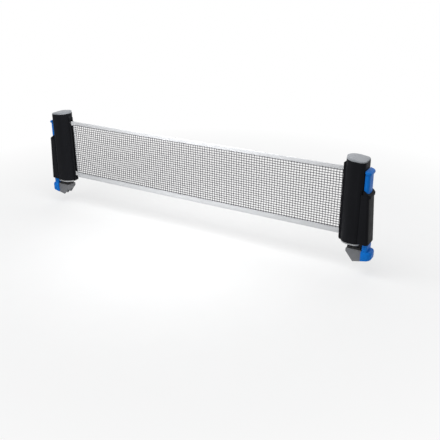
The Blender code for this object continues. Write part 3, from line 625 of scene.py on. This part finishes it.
def build_tape(name, x_low, x_high, fold_z, open_z):
    """A band folded over the net's edge, with slow waves along its open edge."""
    height = abs(fold_z - open_z)
    section = fold_section(fold_z, open_z)
    count = len(section)
    vertices = []
    faces = []
    for station in range(TAPE_STATIONS):
        share = station / (TAPE_STATIONS - 1)
        x = x_low + (x_high - x_low) * share
        wave = sum(size * math.sin(share * often + start) for size, often, start in TAPE_WAVES)
        for y, z in section:
            vertices.append((x, y + wave * abs(z - fold_z) / height, z))
    for station in range(TAPE_STATIONS - 1):
        for index in range(count - 1):
            a = station * count + index
            faces.append((a, a + 1, a + count + 1, a + count))
    obj = mesh_object(name, vertices, faces, "tape")
    solid = obj.modifiers.new("cloth", "SOLIDIFY")
    solid.thickness = TAPE_CLOTH
    solid.offset = -1.0 if fold_z > open_z else 1.0
    bpy.context.view_layer.update()
    graph = bpy.context.evaluated_depsgraph_get()
    mesh = bpy.data.meshes.new_from_object(obj.evaluated_get(graph))
    obj.modifiers.clear()
    obj.data = mesh
    smooth(obj)
    return obj


def build_stitches(name, x_low, x_high, z, y):
    """A row of short stitches on both leaves of a tape."""
    vertices = []
    faces = []
    count = int((x_high - x_low) / STITCH_PITCH)
    half = STITCH_WIDTH / 2
    for side in (-1, 1):
        for index in range(count):
            x = x_low + (index + 0.5) * STITCH_PITCH
            first = len(vertices)
            for share, lift, width in STITCH_RINGS:
                ring_x = x + share * STITCH_LENGTH
                base = side * (y - half)
                top = side * (y + lift * STITCH_HEIGHT)
                for ring_y, ring_z in ((base, -1), (base, 1), (top, 1), (top, -1)):
                    vertices.append((ring_x, ring_y, z + ring_z * half * width))
            tube_faces(faces, first, len(STITCH_RINGS), 4)
    obj = mesh_object(name, vertices, faces, "thread")
    shape = bmesh.new()
    shape.from_mesh(obj.data)
    bmesh.ops.recalc_face_normals(shape, faces=shape.faces)
    shape.to_mesh(obj.data)
    shape.free()
    obj.data.shade_smooth()
    return obj


def build_net():
    """The free net: it shortens towards the right slot as the left post comes in."""
    top_low, top_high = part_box("net_top_tape")
    bottom_low, bottom_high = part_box("net_bottom_tape")
    x_low = top_low.x
    x_high = top_high.x
    z_low = bottom_high.z + ROW_CORD / 2
    z_high = top_low.z - ROW_CORD / 2
    leaf_y = TAPE_FOLD / 2 * LEAF_AT_STITCH
    netting = build_netting(x_low, x_high, z_low, z_high)
    top = build_tape("top_tape", x_low, x_high, top_high.z, top_low.z)
    bottom = build_tape("bottom_tape", x_low, x_high, bottom_low.z, bottom_high.z)
    stitch_z = top_low.z + STITCH_INSET
    top_stitches = build_stitches("top_tape_stitches", x_low, x_high, stitch_z, leaf_y)
    stitch_z = bottom_high.z - STITCH_INSET
    bottom_stitches = build_stitches("bottom_tape_stitches", x_low, x_high, stitch_z, leaf_y)
    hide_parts("net_mesh")
    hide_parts("net_top_tape")
    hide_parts("net_bottom_tape")
    for obj in (netting, top, bottom, top_stitches, bottom_stitches):
        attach(obj, "right_post")
        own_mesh(obj)
    build_net_end(z_low, z_high, top_low.z, top_high.z, bottom_low.z, bottom_high.z)


def build_net_end(z_low, z_high, top_low, top_high, bottom_low, bottom_high):
    """What goes round the end bar with the left post: the rows' loops and the ends of both tapes."""
    loops = build_end_loops(z_low, z_high)
    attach(loops, "left_post")
    path = round_the_bar(WRAP_CLOTH)
    for name, low, high in (
        ("top_tape_end", top_low, top_high),
        ("bottom_tape_end", bottom_low, bottom_high),
    ):
        wrap = strip(name, path, low, high, WRAP_CLOTH, "tape")
        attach(wrap, "left_post")


def build_roll():
    """The rest of the net, wound on the roller in one spiral."""
    low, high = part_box("wound_net")
    outer = high.x - ROLL_CLOTH / 2
    turns = (outer - ROLL_CORE) / ROLL_PITCH
    path = []
    for step in range(round(turns * ROLL_STEPS) + 1):
        angle = math.tau * step / ROLL_STEPS
        radius = ROLL_CORE + ROLL_PITCH * step / ROLL_STEPS
        path.append(Vector((radius * math.cos(angle), radius * math.sin(angle), 0)))
    wound = strip("wound_netting", path, low.z, high.z, ROLL_CLOTH, "wound")
    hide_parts("wound_net")
    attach(wound, "roller")


def build_lead():
    """The stretch of net that leads from the slot to the roll."""
    low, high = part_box("net_lead")
    start = Vector((low.x, low.y + ROLL_CLOTH, 0))
    end = Vector((high.x, high.y, 0))
    path = [start.lerp(end, step / LEAD_STEPS) for step in range(LEAD_STEPS + 1)]
    lead = strip("lead_netting", path, low.z, high.z, ROLL_CLOTH, "wound")
    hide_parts("net_lead")
    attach(lead, "right_post")


# ---------------------------------------------------------------- stage


def background_rays(tree):
    """1 on the rays that show the background: seen directly, in a gloss or through glass."""
    path = tree.nodes.new("ShaderNodeLightPath")
    share = path.outputs["Is Camera Ray"]
    for kind in ("Is Glossy Ray", "Is Transmission Ray"):
        either = tree.nodes.new("ShaderNodeMath")
        either.operation = "MAXIMUM"
        tree.links.new(share, either.inputs[0])
        tree.links.new(path.outputs[kind], either.inputs[1])
        share = either.outputs["Value"]
    return share


def mixed_in(tree, factor, first, second, target):
    """Sends a mix of two shaders to the target, all of the second where the factor is 1."""
    mix = tree.nodes.new("ShaderNodeMixShader")
    tree.links.new(factor, mix.inputs["Fac"])
    tree.links.new(first, mix.inputs[1])
    tree.links.new(second, mix.inputs[2])
    tree.links.new(mix.outputs["Shader"], target)


def build_floor(lowest, highest):
    """A plain floor under the opened jaws, which fades to white away from the object."""
    reach = FLOOR_REACH
    z = lowest.z - travel_of("right_squeeze")
    corners = [(-reach, -reach, z), (reach, -reach, z), (reach, reach, z), (-reach, reach, z)]
    floor = mesh_object("floor", corners, [(0, 1, 2, 3)], "floor")
    tree = LOOKS["floor"].node_tree
    white = tree.nodes.new("ShaderNodeEmission")
    place = tree.nodes.new("ShaderNodeTexCoord")
    away = tree.nodes.new("ShaderNodeVectorMath")
    away.operation = "DISTANCE"
    away.inputs[1].default_value = (lowest + highest) / 2
    fade = tree.nodes.new("ShaderNodeMapRange")
    fade.inputs["From Min"].default_value = FADE_START
    fade.inputs["From Max"].default_value = FADE_END
    fade.inputs["To Min"].default_value = FLOOR_LIFT
    factor = tree.nodes.new("ShaderNodeMath")
    factor.operation = "MULTIPLY"
    tree.links.new(place.outputs["Object"], away.inputs[0])
    tree.links.new(away.outputs["Value"], fade.inputs["Value"])
    tree.links.new(fade.outputs["Result"], factor.inputs[0])
    tree.links.new(background_rays(tree), factor.inputs[1])
    mixed_in(
        tree,
        factor.outputs["Value"],
        tree.nodes["Principled BSDF"].outputs["BSDF"],
        white.outputs["Emission"],
        tree.nodes["Material Output"].inputs["Surface"],
    )
    floor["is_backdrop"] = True


def build_world():
    """Even light from all sides, in front of a white background."""
    world = bpy.data.worlds.new("studio")
    bpy.context.scene.world = world
    world.use_nodes = True
    tree = world.node_tree
    light = tree.nodes["Background"]
    light.inputs["Color"].default_value = (1.0, 1.0, 1.0, 1.0)
    light.inputs["Strength"].default_value = WORLD_LIGHT
    seen = tree.nodes.new("ShaderNodeBackground")
    seen.inputs["Color"].default_value = (1.0, 1.0, 1.0, 1.0)
    mixed_in(
        tree,
        background_rays(tree),
        light.outputs["Background"],
        seen.outputs["Background"],
        tree.nodes["World Output"].inputs["Surface"],
    )


def build_lamps():
    """Soft square lamps, which the camera doesn't see."""
    for name, (place, target, size, power, spread) in LAMPS.items():
        lamp = bpy.data.lights.new(name, "AREA")
        lamp.energy = power
        lamp.size = size
        lamp.spread = math.radians(spread)
        obj = bpy.data.objects.new(name, lamp)
        obj.location = place
        obj.rotation_euler = (Vector(target) - Vector(place)).to_track_quat("-Z", "Y").to_euler()
        obj.visible_camera = False
        bpy.context.scene.collection.objects.link(obj)


def build_camera():
    """The photograph's viewpoint."""
    heading = math.radians(CAMERA_HEADING)
    tilt = math.radians(CAMERA_TILT)
    roll = math.radians(CAMERA_ROLL)
    forward = Vector(
        (-math.sin(heading) * math.cos(tilt), math.cos(heading) * math.cos(tilt), -math.sin(tilt))
    )
    right = Vector((math.cos(heading), math.sin(heading), 0.0))
    up = right.cross(forward)
    turned_right = right * math.cos(roll) + up * math.sin(roll)
    turned_up = up * math.cos(roll) - right * math.sin(roll)
    matrix = Matrix((turned_right, turned_up, -forward)).transposed().to_4x4()
    matrix.translation = CAMERA_AT
    camera = bpy.data.cameras.new("camera")
    camera.lens = CAMERA_LENS
    camera.sensor_width = CAMERA_SENSOR
    obj = bpy.data.objects.new("camera", camera)
    obj.matrix_world = matrix
    bpy.context.scene.collection.objects.link(obj)
    bpy.context.scene.camera = obj


build_camera()
dress_carried_pieces()
build_clamp_spring("right")
build_clamp_spring("left")
build_net()
build_roll()
build_lead()
build_floor(*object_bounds())
build_world()
build_lamps()
bpy.context.scene.view_settings.view_transform = "Standard"
